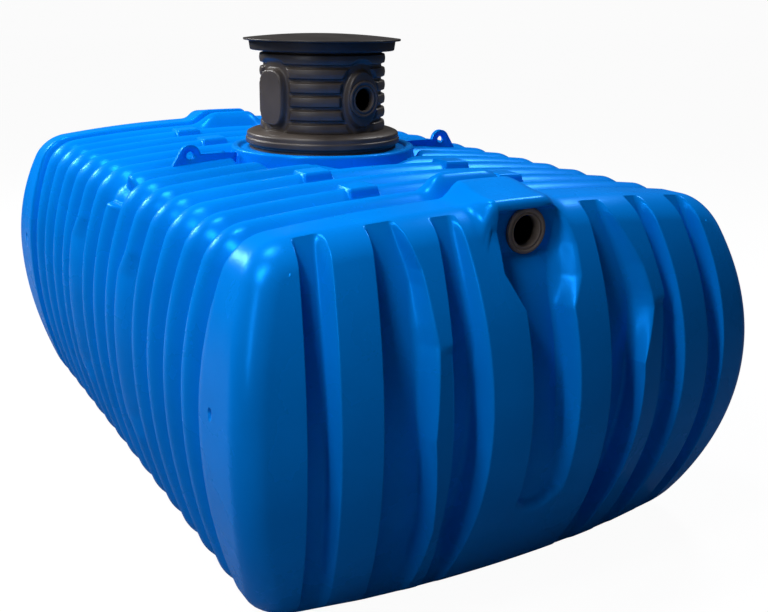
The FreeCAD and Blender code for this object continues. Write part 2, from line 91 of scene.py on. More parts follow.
def hood_rise(x, y):
    """Height of the hood over the crown: a flat top with S-shaped flanks, whose feet and top edges run
    straight from the saddle on the last rib to the hood's front, where the top falls off like a brow. The
    other end repeats it after a half-turn."""
    y = np.where(x < 0, -y, y)
    t = np.clip((np.abs(x) - HOOD_X[0]) / (HOOD_X[1] - HOOD_X[0]), 0, 1)
    foot_left, top_left, top_right, foot_right = (a + (b - a) * t for a, b in zip(HOOD_REAR, HOOD_FRONT))
    rise = HOOD_RISE + (FRONT_RISE - HOOD_RISE) * slope(BROW_X, HOOD_X[1], np.abs(x))
    return rise * slope(foot_left, top_left, y) * slope(foot_right, top_right, y)


def rib_height(x, s):
    """Height of the ribbed surface over the groove floor. A rib is a wave, fuller than a cosine. Two ribs on
    each side step aside over part of the wall and slope back, the middle rib has a pocket on the shoulder,
    the ribs stop short of the manhole, four carry pads and the last one at each end carries a saddle."""
    y, z, _, _ = girth(s)
    on_top = z > ROOF_Z
    turned = np.where(s > 0, -x, x)
    jog = slope(*JOG_TOP, z, JOG_SOFT) * slope(*JOG_FOOT, z, JOG_SOFT)
    round_manhole = np.where(on_top, slope(COLLAR_R + RIB_STOP, COLLAR_R + RIB_FULL, np.hypot(x, y)), 1)
    pocket = slope(POCKET_TOP + POCKET_OUT, POCKET_TOP - POCKET_IN, z)
    pocket = pocket * slope(POCKET_FOOT - POCKET_OUT, POCKET_FOOT + POCKET_IN, z)
    height = np.zeros(np.broadcast_shapes(x.shape, s.shape))
    for number, middle in enumerate(RIBS):
        stepped = jog if number in STEPPED_RIBS else 0
        off = (turned if number in STEPPED_RIBS else x) - middle + SIDE_JOG * stepped
        half = RIB_HALF + np.sign(off) * SIDE_JOG * stepped
        off = np.abs(off)
        rib = RIB_DEPTH * (0.5 + 0.5 * np.cos(np.pi * np.minimum(off / half, 1))) ** RIB_SWELL
        if number == MIDDLE_RIB:
            rib = rib * (1 - pocket)
        if number in END_RIBS:
            rib = rib * (1 + np.where(on_top, hood_rise(x, y), 0) / RIB_DEPTH)
        height = np.maximum(height, rib * round_manhole)
        if number in PAD_RIBS:
            pad = slope(PAD_HALF + PAD_OUT, PAD_HALF - PAD_IN, off) * on_top
            pad = pad * slope(PAD_Y[0] - PAD_END, PAD_Y[0] + PAD_END, np.abs(y))
            pad = pad * slope(PAD_Y[1] + PAD_END, PAD_Y[1] - PAD_END, np.abs(y))
            height = np.maximum(height, (RIB_DEPTH + PAD_RISE) * pad)
    scoop = 0.5 + 0.5 * np.cos(np.pi * np.minimum(np.abs(x) / RIB_HALF, 1))
    return height - POCKET_DEPTH * pocket * scoop


def quads(rows, columns):
    """Four corners of every cell of a grid, counted row by row."""
    corner = (np.arange(rows - 1)[:, None] * columns + np.arange(columns - 1)).ravel()
    return np.stack([corner, corner + 1, corner + columns + 1, corner + columns], 1)


def moulding(name, points, faces, finish, slot, *nodes):
    """Smooth mesh from points and four-cornered faces. Points that no face uses are left out, and corners
    that meet are welded, so that poles and seams close."""
    used, corners = np.unique(faces, return_inverse=True)
    mesh = bpy.data.meshes.new(name)
    mesh.vertices.add(len(used))
    mesh.vertices.foreach_set("co", np.asarray(points, np.float32)[used].ravel())
    mesh.loops.add(corners.size)
    mesh.loops.foreach_set("vertex_index", corners.astype(np.int32).ravel())
    mesh.polygons.add(len(faces))
    mesh.polygons.foreach_set("loop_start", np.arange(0, corners.size, 4, dtype=np.int32))
    mesh.update(calc_edges=True)
    shape = bmesh.new()
    shape.from_mesh(mesh)
    bmesh.ops.remove_doubles(shape, verts=shape.verts, dist=1e-6)
    shape.to_mesh(mesh)
    shape.free()
    mesh.polygons.foreach_set("use_smooth", np.ones(len(mesh.polygons), bool))
    mesh.materials.append(finish)
    piece = bpy.data.objects.new(name, mesh)
    bpy.context.scene.collection.objects.link(piece)
    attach(piece, "root")
    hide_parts(*nodes)


def plastic(name, dark, light, roughness, cloud, grain, depth, gloss=0.3, gleam=0.0):
    """Moulded plastic: two shades mixed by slow clouds, a roughness that varies with them, a gloss that may
    have a share in the plastic's own colour, and a fine pebbled skin."""
    finish = bpy.data.materials.new(name)
    finish.use_nodes = True
    nodes, links = finish.node_tree.nodes, finish.node_tree.links
    shader = nodes["Principled BSDF"]
    shader.inputs["Specular IOR Level"].default_value = gloss
    shader.inputs["Metallic"].default_value = gleam
    place = nodes.new("ShaderNodeTexCoord")
    clouds = nodes.new("ShaderNodeTexNoise")
    clouds.inputs["Scale"].default_value = cloud
    clouds.inputs["Detail"].default_value = 5
    links.new(place.outputs["Object"], clouds.inputs["Vector"])
    shades = nodes.new("ShaderNodeValToRGB")
    shades.color_ramp.elements[0].position = 0.30
    shades.color_ramp.elements[0].color = (*dark, 1)
    shades.color_ramp.elements[1].position = 0.70
    shades.color_ramp.elements[1].color = (*light, 1)
    links.new(clouds.outputs["Fac"], shades.inputs["Fac"])
    links.new(shades.outputs["Color"], shader.inputs["Base Color"])
    rough = nodes.new("ShaderNodeMapRange")
    rough.inputs["To Min"].default_value = roughness - 0.06
    rough.inputs["To Max"].default_value = roughness + 0.06
    links.new(clouds.outputs["Fac"], rough.inputs["Value"])
    links.new(rough.outputs["Result"], shader.inputs["Roughness"])
    pebbles = nodes.new("ShaderNodeTexNoise")
    pebbles.inputs["Scale"].default_value = grain
    pebbles.inputs["Detail"].default_value = 3
    links.new(place.outputs["Object"], pebbles.inputs["Vector"])
    bump = nodes.new("ShaderNodeBump")
    bump.inputs["Strength"].default_value = 0.35
    bump.inputs["Distance"].default_value = depth
    links.new(pebbles.outputs["Fac"], bump.inputs["Height"])
    links.new(bump.outputs["Normal"], shader.inputs["Normal"])
    return finish


blue_skin = plastic("blue_skin", (0.0, 0.205, 0.76), (0.0, 0.230, 0.84), roughness=0.27, cloud=3.0, grain=220,
                    depth=0.0006, gloss=0.01, gleam=0.12)

# The grid on the barrel: lines across half a rib, then along the roof, the wall and half of the underside,
# with one more line close to each seam.
SEAM_STEP = 0.001
half_steps = np.array([0, 0.02, 0.036, 0.046, 0.053, 0.058, 0.0615, 0.065, 0.071, 0.079, 0.087])
pitch_steps = np.concatenate([-half_steps[:0:-1], half_steps])
barrel_x = np.concatenate([(RIBS[:, None] + pitch_steps).ravel(), RIBS + RIB_PITCH / 2, [-BARREL_END]])
barrel_x = np.unique(np.round(barrel_x, 5))[:, None]
pad_edge = np.linspace(-PAD_END, PAD_END, 7)
roof_s = [np.linspace(0, ARC_START[1], 90), np.linspace(ARC_START[1], ARC_START[2], 26),
          PAD_Y[0] + pad_edge, PAD_Y[1] + pad_edge, [ARC_START[2] - SEAM_STEP]]
wall_s = [[ARC_START[2] + SEAM_STEP, ARC_START[5] - SEAM_STEP], np.linspace(ARC_START[2], ARC_START[3], 56),
          np.linspace(ARC_START[3], ARC_START[4], 56), np.linspace(ARC_START[4], ARC_START[5], 30)]
floor_s = [[ARC_START[5] + SEAM_STEP], np.linspace(ARC_START[5], HALF_GIRTH, 12)]
roof_s, wall_s, floor_s = (np.unique(np.round(np.concatenate(s), 6)) for s in (roof_s, wall_s, floor_s))


def barrel_skin(name, s, *nodes):
    """Piece of the barrel between two distances along the section: the section moved in along its own
    direction by what is missing from the height of a rib. Cells inside the manhole are left out."""
    x, s = np.broadcast_arrays(barrel_x, s[None, :])
    y, z, out_y, out_z = girth(s)
    sunk = RIB_DEPTH - rib_height(x, s)
    y, z = y - out_y * sunk, z - out_z * sunk
    faces = quads(*x.shape)
    in_manhole = (np.hypot(x, y) < COLLAR_R - UNDER_COLLAR) & (z > ROOF_Z)
    faces = faces[~in_manhole.ravel()[faces].all(axis=1)]
    moulding(name, np.stack([x, y, z], -1).reshape(-1, 3), faces, blue_skin, "tank_body", *nodes)


barrel_skin("roof_skin", np.unique(np.concatenate([-roof_s, roof_s])),
            "tank_roof", "left_shoulder", "right_shoulder")
barrel_skin("right_wall_skin", wall_s, "right_upper_wall", "right_lower_wall", "right_haunch")
barrel_skin("left_wall_skin", -wall_s[::-1], "left_upper_wall", "left_lower_wall", "left_haunch")
barrel_skin("underside_skin", np.concatenate([floor_s, 2 * HALF_GIRTH - floor_s[-2::-1]]), "tank_floor")

# Ends of the tank: domes of the same blue polyethylene, moulded in one with the barrel, with a broad band and
# a rounded edge. Upright channels leave ribs between them, two of which have a broad facet, and a hooded
# recess with a chute below it takes the pipe.
DOME_TIP, DOME_Z = 1.787, 0.770
DOME_R_ACROSS, DOME_R_UP = 5.2, 1.0
EDGE_R, TOP_EDGE_R, LOW_EDGE_R, HOOD_EDGE_R = 0.088, 0.085, 0.057, 0.034
TOP_EDGE_Y, LOW_EDGE_Y, EDGE_TURN = 0.6, 0.42, 0.2
HOOD_FACE, HOOD_BLUNT = 1.595, 0.02
CHANNEL_LEVELS = (0.0, 0.70, 1.43)
OUTER_DEPTHS = (0.057, 0.060, 0.060)
MIDDLE_DEPTHS = (0.088, 0.080, 0.055)
INNER_DEPTHS = (0.108, 0.095, 0.042)
CHANNELS = ((-0.852, -0.743, OUTER_DEPTHS), (-0.605, -0.506, MIDDLE_DEPTHS), (-0.371, -0.269, INNER_DEPTHS),
            (0.269, 0.371, INNER_DEPTHS), (0.506, 0.605, MIDDLE_DEPTHS), (0.743, 0.852, OUTER_DEPTHS))
STEEP, STEEP_BLUNT, SLOPING, SLOPING_BLUNT = 0.020, 0.06, 0.034, 0.35
FLOOR_BLUNT = 0.004
LOW_SHARE, FULL_Z = 0.16, 0.34
BOW_Z, BOW_REACH = 0.760, 0.650
BOW_AT = (0.0, 0.140, 0.269, 0.371, 0.506, 0.605, 0.743, 0.852, 1.018)
BOW_BY = (0.0, 0.0, -0.011, 0.038, 0.035, 0.057, 0.060, 0.063, 0.0)
RECESS, RECESS_FACE, RECESS_BLUNT = (-0.140, 0.140), 1.560, 0.012
LIP = (1.459, 1.445)
CHUTE_DEPTH, CHUTE_SHARE, CHUTE_FULL_Z = 0.088, 0.45, 0.85
CHUTE_FOOT, CHUTE_ROUND = (0.350, 0.420), 0.060
# Lines with outlines of their own, by their place on the roof: (height, place across) from the foot up.
OUTLINES = {
    -0.540: ((0.10, -0.449), (0.45, -0.440), (0.80, -0.472), (1.12, -0.484), (1.25, -0.476), (1.43, -0.512)),
    -0.506: ((0.10, -0.419), (0.38, -0.408), (0.75, -0.441), (1.064, -0.417), (1.30, -0.447), (1.43, -0.490)),
    -0.140: ((0.35, -0.110), (0.47, -0.093), (1.13, -0.098), (1.26, -0.158), (1.43, -0.142)),
    0.106: ((0.35, 0.070), (1.13, 0.064), (1.20, 0.070), (1.33, 0.108), (1.43, 0.134)),
    0.140: ((0.35, 0.116), (1.12, 0.112), (1.22, 0.170), (1.32, 0.181), (1.43, 0.166)),
    0.337: ((0.30, 0.360), (0.87, 0.366), (1.09, 0.398), (1.21, 0.382), (1.43, 0.354)),
    0.371: ((0.30, 0.390), (0.87, 0.397), (1.065, 0.470), (1.12, 0.472), (1.22, 0.459), (1.43, 0.383)),
    0.506: ((0.30, 0.490), (0.87, 0.498), (1.11, 0.531), (1.43, 0.515))}
STRAIGHT = (-1.2, -0.585, -0.371, -0.269, -0.030, 0.030, 0.269, 0.571, 1.2)
TILTED, TILT = ((-0.506, -0.371, 1.064), (0.371, 0.506, 1.094)), 0.013
TILT_SIDE, TILT_HEAD, TILT_FOOT = (0.045, 0.025), (0.008, -0.030), (0.15, 0.40)
PORT_Z, PORT_HOLE_R = 1.372, 0.070
DIMPLE_X, DIMPLE_Z = 1.425, 0.861
DIMPLE_R, DIMPLE_DEPTH, DIMPLE_EDGE = 0.013, 0.026, 0.003
GROOVE_FLOOR, GROOVE_WIDTH = 0.029, 0.069
COLUMN_EDGE, CORNER_Y, CROWN_TOP = 0.862, 0.898, 1.462


def over(value, blunt):
    """The value where it is above 0, else 0, with the corner rounded off."""
    return 0.5 * (value + np.sqrt(value ** 2 + blunt ** 2)) - 0.5 * blunt * np.exp(-np.abs(value) / blunt)


def dome(y, z):
    """Smooth end: one parabola across and one up, added."""
    return DOME_TIP - y ** 2 / (2 * DOME_R_ACROSS) - (z - DOME_Z) ** 2 / (2 * DOME_R_UP)


def end_face(y, z):
    """The dome, brought forward to the upright front of the hood where that stands further out, above the
    middle."""
    ahead = np.where(z > DOME_Z, over(HOOD_FACE - dome(y, z), HOOD_BLUNT), 0)
    return dome(y, z) + hood_rise(HOOD_X[1], y) / FRONT_RISE * ahead


def upright(line, z):
    """Place across the end, at the height z, of the line that starts at the place line on the roof. A few
    lines follow outlines of their own, those between take a share of that, and all bow out to the sides about
    half-way up."""
    knots = np.array(sorted((*STRAIGHT, *OUTLINES)))
    place = line + 0 * z
    for knot, outline in OUTLINES.items():
        level, run = np.transpose(outline)
        place = place + np.interp(line, knots, (knots == knot) * 1.0) * (np.interp(z, level, run) - knot)
    bow = np.interp(np.abs(place), BOW_AT, BOW_BY) * np.maximum(0, 1 - ((z - BOW_Z) / BOW_REACH) ** 2)
    return place + np.sign(place) * bow


def flank(crest, foot, value, blunt):
    """Wall of a channel: 0 at the crest, over which it bends within about the share blunt of its width, then
    steep, running out softly to 1 at the foot."""
    t = np.clip((value - crest) / (foot - crest), 0, 1)
    bent = (1 + blunt) * t ** 2 / (t + blunt)
    return 1 - (1 - bent) ** 2


def trough(line, left, right):
    """1 on the floor of a channel and 0 outside its edges: the wall on the left is steep with a crisp crest,
    that on the right slopes and has a blunt one."""
    steep = flank(left, left + STEEP, line, STEEP_BLUNT)
    return steep * flank(right, right - SLOPING, line, SLOPING_BLUNT)


def carved(x, y, z, line):
    """How far the end is cut back from its point (x, y, z) on an upright line: the deepest of the channels,
    whose floors lie under the dome by a parabola of the height and run out towards the underside, of the
    recess with its chute, which gets shallower to a rounded foot, and of two tilted crests."""
    cut = np.zeros(np.shape(x))
    share = LOW_SHARE + (1 - LOW_SHARE) * slope(0.0, FULL_Z, z)
    for left, right, depths in CHANNELS:
        depth = share * np.polyval(np.polyfit(CHANNEL_LEVELS, depths, 2), z)
        cut = np.maximum(cut, over(x - dome(y, z) + depth, FLOOR_BLUNT) * trough(line, left, right))
    depth = CHUTE_DEPTH * (CHUTE_SHARE + (1 - CHUTE_SHARE) * slope(CHUTE_FOOT[0], CHUTE_FULL_Z, z))
    back = dome(y, z) - depth
    back = back + over(RECESS_FACE - back, RECESS_BLUNT)
    foot = z - CHUTE_ROUND * (line / RECESS[1]) ** 2
    recess = trough(line, *RECESS) * slope(*LIP, z) * slope(*CHUTE_FOOT, foot)
    cut = np.maximum(cut, over(x - back, FLOOR_BLUNT) * recess)
    for left, right, kink in TILTED:
        tilt = np.clip((line - left) / (right - left), 0, 1)
        tilt = tilt * slope(right + TILT_SIDE[0], right + TILT_SIDE[1], line)
        tilt = tilt * slope(kink + TILT_HEAD[0], kink + TILT_HEAD[1], z) * slope(*TILT_FOOT, z)
        cut = np.maximum(cut, TILT * tilt)
    return cut


def between(*spans):
    """Even steps inside each (start, end, count) span, joined and sorted."""
    return np.unique(np.round(np.concatenate([np.linspace(*span) for span in spans]), 5))


along = np.linspace(0, HALF_GIRTH, 40001)
along_y = girth(along)[0]
widest = along_y.argmax()


def on_roof(y):
    """Distance along the section to the point of the roof over y."""
    return np.interp(np.abs(y), along_y[:widest], along[:widest]) * np.sign(y)


def on_floor(y):
    """Distance along the section to the point of the underside below y."""
    return np.interp(np.abs(y), along_y[:widest:-1], along[:widest:-1]) * np.where(y < 0, -1, 1)


def edge_frame(s, rise=0.0):
    """Start of the rounded edge at s, and the direction in which it turns in: straight down or up over the
    columns, and along the section's own direction at the sides."""
    y, z, out_y, out_z = girth(s)
    angle = np.arctan2(out_z, np.abs(out_y))
    aim = np.where(angle > 0, np.pi / 2, -np.pi / 2)
    start, end = on_roof(COLUMN_EDGE), on_floor(COLUMN_EDGE)
    own = slope(start, start + EDGE_TURN, np.abs(s)) * slope(end, end - EDGE_TURN, np.abs(s))
    angle = aim + (angle - aim) * own
    return y, z + rise, np.where(s < 0, -1.0, 1.0) * np.cos(angle), np.sin(angle)


def edge_inside(s):
    """Place across and height at which the rounded edge that starts at s ends."""
    y, z, turn_y, turn_z = edge_frame(s)
    return y - EDGE_R * turn_y, z - EDGE_R * turn_z


# The grid on the face: lines up and down, close together over the walls of the channels, and a fan at each
# side. The rows are close together near the top and at the dimple.
wall_steps = np.array([-0.15, 0, 0.04, 0.10, 0.18, 0.28, 0.40, 0.55, 0.72, 0.88, 1, 1.12])
walls = [(left + STEEP * wall_steps, right - SLOPING * wall_steps) for left, right, *_ in (*CHANNELS, RECESS)]
even = np.arange(-42, 43) * COLUMN_EDGE / 42
columns = np.unique(np.round(np.concatenate([np.ravel(walls), even, between((-0.09, 0.09, 19))]), 5))
fan_top = np.linspace(on_roof(COLUMN_EDGE), on_roof(CORNER_Y), 17)[1:]
fan_y = edge_inside(fan_top)[0]
spread = (fan_y - COLUMN_EDGE) / (fan_y[-1] - COLUMN_EDGE)
tried = np.linspace(on_floor(CORNER_Y), on_floor(COLUMN_EDGE), 2001)
low_y = edge_inside(tried)[0]
fan_low = np.interp(COLUMN_EDGE + (low_y[0] - COLUMN_EDGE) * spread, low_y[::-1], tried[::-1])
top_s = np.concatenate([-fan_top[::-1], on_roof(upright(columns, CROWN_TOP)), fan_top])
low_s = np.concatenate([-fan_low[::-1], on_floor(upright(columns, 0.0)), fan_low])
tried = np.linspace(on_roof(CORNER_Y), on_floor(CORNER_Y), 8001)
side_z = edge_inside(tried)[1]
dimple_row = (side_z[0] - DIMPLE_Z) / (side_z[0] - side_z[-1])
rows = between((0, 0.05, 20), (0.05, 0.32, 46), (0.32, 0.9, 60), (0.9, 1, 14),
               (dimple_row - 0.012, dimple_row + 0.012, 11))
side_s = np.interp(-(side_z[0] + (side_z[-1] - side_z[0]) * rows), -side_z, tried)
side_y = edge_inside(side_s)[0]
column_count, row_count = len(top_s), len(rows)
line = np.concatenate([np.full(len(spread), -COLUMN_EDGE), columns, np.full(len(spread), COLUMN_EDGE)])
hold = np.concatenate([1 - spread[::-1], np.ones(len(columns)), 1 - spread])

# The loop round the edge: over the roof, down the right side, back along the underside and up the left side.
loop_s = np.concatenate([top_s[:-1], side_s[:-1], low_s[:0:-1], -side_s[:0:-1]])
side_line = np.full(row_count - 1, COLUMN_EDGE)
loop_line = np.concatenate([line[:-1], side_line, line[:0:-1], -side_line])
loop_hold = np.concatenate([hold[:-1], 0 * side_line, hold[:0:-1], 0 * side_line])
place = np.arange(len(loop_s))
low_start = column_count + row_count - 2
over_roof = place < column_count - 1
under = (place >= low_start) & (place < low_start + column_count - 1)
bare_y, bare_z, out_y, out_z = girth(loop_s)
lift = np.where(over_roof, hood_rise(HOOD_X[1], bare_y), 0)
top_share = np.where(over_roof, slope(COLUMN_EDGE, TOP_EDGE_Y, np.abs(loop_line)), 0)
low_share = np.where(under, slope(COLUMN_EDGE, LOW_EDGE_Y, np.abs(loop_line)), 0)
edge_r = EDGE_R + (TOP_EDGE_R - EDGE_R) * top_share
edge_r = edge_r + (HOOD_EDGE_R - edge_r) * lift / FRONT_RISE
edge_r = edge_r + (LOW_EDGE_R - edge_r) * low_share
y, z, turn_y, turn_z = edge_frame(loop_s, lift)

# The face inside the loop.
inner_z = z - edge_r * turn_z
patch_top, patch_low = inner_z[:column_count], inner_z[low_start:low_start + column_count][::-1]
patch_z = patch_top + (patch_low - patch_top) * rows[:, None]
fan_out = COLUMN_EDGE + (side_y[:, None] - COLUMN_EDGE) * spread
middle = np.broadcast_to(columns, (row_count, len(columns)))
patch_y = np.concatenate([-fan_out[:, ::-1], middle, fan_out], 1) + (upright(line, patch_z) - line) * hold
patch_x = end_face(patch_y, patch_z)
patch_x = patch_x - carved(patch_x, patch_y, patch_z, line)

# The rows of the loop: over the last groove's flank, along the band, then round the edge.
rise = np.array([0, 0.015, 0.030, 0.035, 0.041, 0.048, 0.055, 0.062, GROOVE_WIDTH])
turns = np.radians(between((0, 90, 17), (12, 36, 15)))[:-1, None]
flank_x = np.broadcast_to(BARREL_END + rise[:, None], (len(rise), len(loop_s)))
shares = between((0, 1, 9), (0.32, 0.48, 13))[1:-1, None]
straight_x = np.concatenate([flank_x, flank_x[-1] + (end_face(y, z) - edge_r - flank_x[-1]) * shares])
up = slope(BARREL_END + GROOVE_FLOOR, BARREL_END + GROOVE_WIDTH, straight_x)
hooded = np.where(over_roof, hood_rise(straight_x, bare_y), 0)
sunk = RIB_DEPTH * (1 - up)
straight = np.stack([straight_x, bare_y - out_y * sunk, bare_z - out_z * sunk + hooded * up], -1)
turn_in = edge_r * (1 - np.cos(turns))
round_z = z - turn_z * turn_in
round_y = y - turn_y * turn_in + (upright(loop_line, round_z) - upright(loop_line, z)) * loop_hold
round_x = end_face(round_y, round_z) - edge_r * (1 - np.sin(turns))
round_x = round_x - carved(round_x, round_y, round_z, loop_line)
ring = np.concatenate([straight, np.stack([round_x, round_y, round_z], -1)])
from_dimple = np.hypot(ring[..., 0] - DIMPLE_X, ring[..., 2] - DIMPLE_Z)
ring[..., 1] -= out_y * DIMPLE_DEPTH * slope(DIMPLE_R + DIMPLE_EDGE, DIMPLE_R - DIMPLE_EDGE, from_dimple)

patch = np.stack([patch_x, patch_y, patch_z], -1)
inner_edge = np.concatenate([patch[0, :-1], patch[:-1, -1], patch[-1, :0:-1], patch[:0:-1, 0]])
ring = np.concatenate([ring, inner_edge[None]])
ring = np.concatenate([ring, ring[:, :1]], 1)
ring_faces = quads(*ring.shape[:2])[:, ::-1]
patch_faces = quads(*patch.shape[:2])[:, ::-1]
in_port = np.hypot(patch_y, patch_z - PORT_Z) < PORT_HOLE_R
patch_faces = patch_faces[~in_port.ravel()[patch_faces].all(axis=1)]
end_points = np.concatenate([ring.reshape(-1, 3), patch.reshape(-1, 3)])
end_faces = np.concatenate([ring_faces, patch_faces + ring.shape[0] * ring.shape[1]])
moulding("front_end_skin", end_points, end_faces, blue_skin, "tank_body", "front_end")
moulding("rear_end_skin", end_points * (-1, -1, 1), end_faces, blue_skin, "tank_body", "rear_end")

# Collar round the manhole: a raised ring of blue polyethylene, moulded in one with the roof, with a rounded
# bead along its outer edge. The shaft stands on its flat seat.
SEAT_Z = 1.472
BORE_R = 0.268


def turned_ring(profile, steps):
    """A closed ring: points (radius, height) of a profile carried round the axis of the shaft."""
    angle = np.linspace(0, 2 * np.pi, steps + 1)[:, None]
    r, z = np.array(profile).T
    points = np.stack([r * np.cos(angle), r * np.sin(angle), z + 0 * angle], -1)
    return points.reshape(-1, 3), quads(*points.shape[:2])


def rounded(corners, radii, steps=5):
    """Profile through the corners, each rounded off by a parabola that starts at its distance before the
    corner."""
    corners = np.array(corners, float)
    t = np.linspace(0, 1, steps)[:, None]
    path = [corners[:1]]
    for before, here, after, r in zip(corners[:-2], corners[1:-1], corners[2:], radii):
        start = here + (before - here) * min(0.5, r / np.hypot(*(before - here)))
        end = here + (after - here) * min(0.5, r / np.hypot(*(after - here)))
        path.append((1 - t) ** 2 * start + 2 * t * (1 - t) * here + t ** 2 * end)
    return np.concatenate(path + [corners[-1:]])


seat = rounded([(BORE_R, SEAT_Z - 0.010), (BORE_R, SEAT_Z), (0.372, SEAT_Z), (0.386, SEAT_Z - 0.006),
                (0.398, SEAT_Z + 0.010), (COLLAR_R, SEAT_Z + 0.010), (COLLAR_R, SEAT_Z - 0.088)],
               [0.003, 0.012, 0.006, 0.009, 0.014])
moulding("manhole_collar_skin", *turned_ring(seat[::-1], 180), blue_skin, "tank_body", "manhole_collar")

# Lifting eyes: two upright lugs on the middle rib, of blue polyethylene, moulded with the roof, with a hole
# for a shackle. The outer edge slopes away to the side of the tank, and a low web runs towards the collar.
EYE_Y, EYE_Z = 0.660, 1.4669
EYE_R, EYE_HOLE_R, EYE_HALF = 0.048, 0.018, 0.013
EYE_FOOT_OUT, EYE_FOOT_IN, EYE_FOOT_DROP, EYE_BASE = 0.083, 0.064, 0.042, 0.056
FULL_LEAN = 1.35


def lug(steps=96):
    """Plate round a hole: seen from the hole's middle the edge lies on a circle at the top, on lines that
    touch it and lead down, and on the base. Below the middle on the inner side it lies on a wider circle and
    the base, which makes the low web, whose top is left open. A loop of the plate's thickness with rounded
    corners is carried round the hole."""
    foot_out = np.arctan2(EYE_FOOT_DROP, EYE_FOOT_OUT) + np.pi
    foot_in = -np.arctan2(EYE_FOOT_DROP, EYE_FOOT_IN)
    touch_out = foot_out - np.arccos(EYE_R / np.hypot(EYE_FOOT_OUT, EYE_FOOT_DROP))
    touch_in = foot_in + np.arccos(EYE_R / np.hypot(EYE_FOOT_IN, EYE_FOOT_DROP))
    angle = np.linspace(0, 2 * np.pi, steps + 1)[:, None]
    past = np.maximum(angle - touch_out, touch_in - angle)
    lean = np.where(angle < 1.5 * np.pi, np.clip(past, 0, FULL_LEAN), 0)
    lean = np.where(angle > 1.5 * np.pi, FULL_LEAN, lean)
    edge = np.minimum(EYE_R / np.cos(lean), EYE_BASE / np.maximum(-np.sin(angle), 1e-3))
    share = np.array([0, 0, 0, 0.08, 0.90, 0.97, 1, 1, 0.97, 0.90, 0.08, 0])
    depth = np.array([-0.80, 0, 0.80, 1, 1, 0.93, 0.75, -0.75, -0.93, -1, -1, -0.80])
    r = EYE_HOLE_R + (edge - EYE_HOLE_R) * share
    points = np.stack([EYE_HALF * depth + 0 * r, -EYE_Y + r * np.cos(angle), EYE_Z + r * np.sin(angle)], -1)
    return points.reshape(-1, 3), quads(*points.shape[:2])


lug_points, lug_faces = lug()
moulding("left_eye_skin", lug_points, lug_faces, blue_skin, "tank_body", "left_lifting_eye")
moulding("right_eye_skin", lug_points * (-1, -1, 1), lug_faces, blue_skin, "tank_body", "right_lifting_eye")

# Pipe seals at the two ends: soft rubber rings pushed into the holes of the recesses, with a rounded outer
# flange, a step and a lip that closes on the pipe.
SEAL_R, PIPE_R, SEAL_NECK_R = 0.083, 0.055, 0.0695
rubber = plastic("seal_rubber", (0.170, 0.135, 0.115), (0.220, 0.180, 0.155), roughness=0.55, cloud=18.0,
                 grain=900, depth=0.0003)
seal_loop = rounded([(PIPE_R, -0.030), (PIPE_R, 0.008), (PIPE_R + 0.004, 0.014), (PIPE_R + 0.009, 0.010),
                     (PIPE_R + 0.012, 0.010), (PIPE_R + 0.016, 0.016), (SEAL_R, 0.014), (SEAL_R, 0.0),
                     (SEAL_NECK_R, 0.0), (SEAL_NECK_R, -0.030), (PIPE_R, -0.030)],
                    [0.004, 0.003, 0.003, 0.002, 0.004, 0.008, 0.002, 0.002, 0.002])
seal_points, seal_faces = turned_ring(seal_loop, 96)
seal_points = np.stack([seal_points[:, 2] + RECESS_FACE, seal_points[:, 0], seal_points[:, 1] + PORT_Z], -1)
moulding("inlet_seal_ring", seal_points, seal_faces, rubber, "pipe_seal", "inlet_seal")
moulding("outlet_seal_ring", seal_points * (-1, -1, 1), seal_faces, rubber, "pipe_seal", "outlet_seal")

# Foot of the shaft: a black plastic ring with a rounded flange, a sloping step and a short cone, on a flat
# rubber gasket that lies on the collar's seat.
FOOT_Z, RISER_Z = 1.480, 1.548
shaft_skin = plastic("shaft_skin", (0.050, 0.040, 0.034), (0.074, 0.060, 0.051), roughness=0.42, cloud=9.0,
                     grain=420, depth=0.0005, gloss=0.40)
gasket_rubber = plastic("gasket_rubber", (0.058, 0.047, 0.041), (0.080, 0.066, 0.058), roughness=0.62,
                        cloud=18.0, grain=900, depth=0.0003)
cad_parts["shaft_gasket"].data.materials.clear()
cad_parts["shaft_gasket"].data.materials.append(gasket_rubber)
foot_loop = rounded([(BORE_R, FOOT_Z), (0.342, FOOT_Z), (0.346, FOOT_Z + 0.014), (0.361, FOOT_Z + 0.017),
                     (0.361, FOOT_Z + 0.040), (0.356, FOOT_Z + 0.043), (0.355, FOOT_Z + 0.064),
                     (0.330, RISER_Z + 0.007), (0.298, RISER_Z + 0.011), (BORE_R, RISER_Z + 0.011),
                     (BORE_R, FOOT_Z)],
                    [0.004, 0.006, 0.006, 0.006, 0.003, 0.008, 0.010, 0.006, 0.002], 6)
moulding("shaft_foot_ring", *turned_ring(foot_loop, 160), shaft_skin, "shaft", "shaft_base_ring")

# Riser of the shaft: a short corrugated tube of black plastic that stands in the foot ring, with a blank flat
# pad on one side and an oval pad with a pipe seal on the next. The ribs end in rounded tips beside the pads.
RISER_TOP = 1.914
RISER_R, RISER_DEPTH, CREST_FALL = 0.291, 0.014, 0.004
RISER_PITCH, TOP_RIB_Z = 0.0605, 1.8805
GROOVE_WAVE, GROOVE_SOFT = (0.34, 0.05), 0.4
SHAFT_TURN = np.radians(11)
PAD_FACE, PAD_Z = 0.299, 1.710
PAD_HALF_WIDTH, PAD_HALF_HEIGHT = 0.095, 0.132
PAD_REACH = 1.2
OVAL, SQUARISH = 2, 3.2
RIB_TIPS, PAD_BORDER, BORDER_SOFT = (-0.034, -0.014), (-0.002, 0.012), 0.3
SIDE_HOLE_R = 0.062


